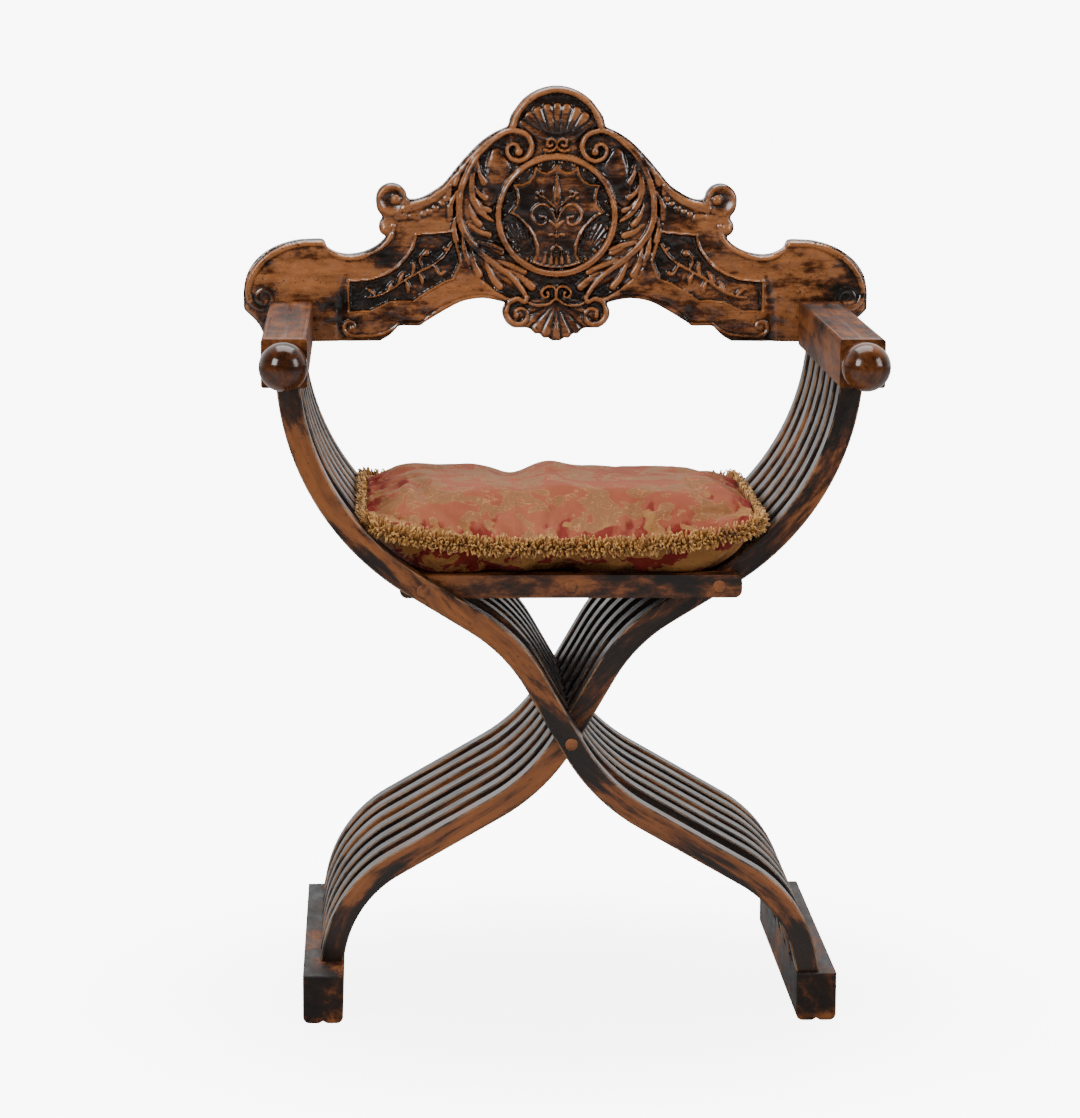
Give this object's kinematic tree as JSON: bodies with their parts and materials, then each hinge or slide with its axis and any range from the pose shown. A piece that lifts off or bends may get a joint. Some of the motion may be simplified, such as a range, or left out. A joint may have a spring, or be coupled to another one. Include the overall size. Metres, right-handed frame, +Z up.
{
  "type": "savonarola chair",
  "caption": "Folding X-frame armchair of interleaved curved slats on a crossing dowel, with arms, runner feet, carved back board and loose fringed cushion.",
  "frame": {"origin": "centre of the floor area under the chair, on the floor", "axes": "+Z up, the sitter faces -Y, +X to the right seen from the front"},
  "size_m": [0.6986, 0.4814, 0.9569],
  "materials": {
    "walnut": "worn dark varnish",
    "dowel_wood": "worn varnish, end grain",
    "damask": "faded rose silk damask with olive gold figures",
    "fringe": "thick looped gold fringe"
  },
  "bodies": {
    "left_frame": {"left_slat_1": "walnut", "left_slat_2": "walnut", "left_slat_3": "walnut", "left_slat_4": "walnut", "left_slat_5": "walnut", "left_slat_6": "walnut", "left_slat_7": "walnut", "left_arm": "walnut", "left_knob": "walnut", "right_foot": "walnut", "crossing_dowel": "dowel_wood", "crossing_spacer": "walnut", "left_seat_dowel": "dowel_wood"},
    "right_frame": {"right_slat_1": "walnut", "right_slat_2": "walnut", "right_slat_3": "walnut", "right_slat_4": "walnut", "right_slat_5": "walnut", "right_slat_6": "walnut", "right_slat_7": "walnut", "right_arm": "walnut", "right_knob": "walnut", "left_foot": "walnut", "right_seat_dowel": "dowel_wood"},
    "left_seat": {"left_seat_slat_1": "walnut", "left_seat_slat_2": "walnut", "left_seat_slat_3": "walnut", "left_seat_slat_4": "walnut", "left_seat_slat_5": "walnut", "left_seat_slat_6": "walnut", "left_seat_slat_7": "walnut"},
    "right_seat": {"right_seat_slat_1": "walnut", "right_seat_slat_2": "walnut", "right_seat_slat_3": "walnut", "right_seat_slat_4": "walnut", "right_seat_slat_5": "walnut", "right_seat_slat_6": "walnut", "front_seat_rail": "walnut", "centre_seat_dowel": "dowel_wood"},
    "back_board": {"back_board": "walnut"},
    "cushion": {"cushion": "damask", "cushion_fringe": "fringe"}
  },
  "joints": [
    {"name": "frame_fold", "type": "hinge", "parent": "left_frame", "child": "right_frame", "pos_m": [0, 0, 0.295], "axis": [0, -1, 0], "range_deg": [0, 38], "deforming": ["cushion", "cushion_fringe"]},
    {"name": "left_seat_turn", "type": "hinge", "parent": "left_frame", "child": "left_seat", "pos_m": [-0.154, 0, 0.457], "axis": [0, -1, 0], "range_deg": [0, 72]},
    {"name": "right_seat_turn", "type": "hinge", "parent": "right_frame", "child": "right_seat", "pos_m": [0.154, 0, 0.457], "axis": [0, 1, 0], "range_deg": [0, 72]},
    {"name": "board_lift", "type": "slide", "parent": "left_frame", "child": "back_board", "axis": [0, 0, 1], "range_m": [0, 0.06]},
    {"name": "cushion_lift", "type": "slide", "parent": "left_frame", "child": "cushion", "axis": [0, 0, 1], "range_m": [0, 0.15]}
  ],
  "couplings": [
    {"joint": "left_seat_turn", "follows": "frame_fold", "ratio": 1.8924},
    {"joint": "right_seat_turn", "follows": "frame_fold", "ratio": 1.8924}
  ]
}
